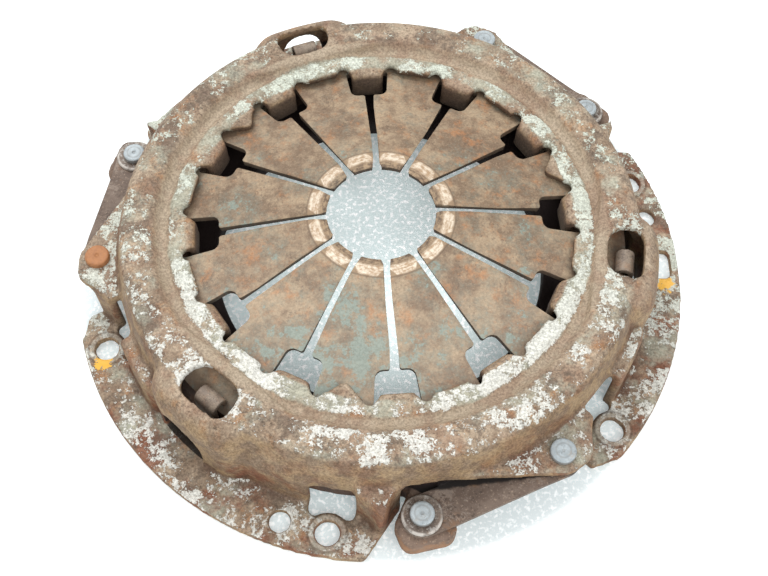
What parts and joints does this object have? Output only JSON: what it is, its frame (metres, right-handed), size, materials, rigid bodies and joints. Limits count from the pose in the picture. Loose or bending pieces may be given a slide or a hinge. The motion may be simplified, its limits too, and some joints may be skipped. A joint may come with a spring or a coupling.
{
  "type": "clutch pressure plate",
  "caption": "Push-type clutch cover assembly: pressed steel cover on three feet, diaphragm spring with crimped tabs, cast pressure plate on drive straps.",
  "frame": {"origin": "centre of the flange's bolt circle, on the face that is bolted to the flywheel", "axes": "+Z along the clutch axis, from the flywheel towards the release bearing; +X to the right of the foot that carries the hand slot"},
  "size_m": [0.2336, 0.2392, 0.0404],
  "materials": {
    "pressed_cover": "rusted pressed steel with worn pale paint",
    "spring_steel": "hardened spring steel with light brown rust",
    "ring_wire": "drawn wire, dark",
    "cast_iron": "cast iron with brown rust, ground friction face",
    "strap_steel": "rolled spring strip, brown",
    "rivet_steel": "zinc plated, dull",
    "washer_steel": "zinc plated, worn",
    "clip_steel": "bent sheet, lightly rusted"
  },
  "bodies": {
    "cover_body": {"cover": "pressed_cover", "cover_rivets": "rivet_steel", "fulcrum_ring": "ring_wire", "diaphragm_spring": "spring_steel", "strap_1_leaf_1": "strap_steel", "strap_1_leaf_2": "strap_steel", "strap_1_leaf_3": "strap_steel", "strap_2_leaf_1": "strap_steel", "strap_2_leaf_2": "strap_steel", "strap_2_leaf_3": "strap_steel", "strap_3_leaf_1": "strap_steel", "strap_3_leaf_2": "strap_steel", "strap_3_leaf_3": "strap_steel"},
    "plate_body": {"pressure_plate": "cast_iron", "lug_rivets": "rivet_steel", "lug_washer_1": "washer_steel", "lug_washer_2": "washer_steel", "lug_washer_3": "washer_steel", "retracting_clip_1": "clip_steel", "retracting_clip_2": "clip_steel", "retracting_clip_3": "clip_steel"}
  },
  "joints": [
    {"name": "plate_travel", "type": "slide", "parent": "cover_body", "child": "plate_body", "axis": [0, 0, 1], "range_m": [0, 0.0015], "stiffness_N_per_m": 20000, "springref_m": -0.0005, "deforming": ["diaphragm_spring", "strap_1_leaf_1", "strap_1_leaf_2", "strap_1_leaf_3", "strap_2_leaf_1", "strap_2_leaf_2", "strap_2_leaf_3", "strap_3_leaf_1", "strap_3_leaf_2", "strap_3_leaf_3"]}
  ]
}
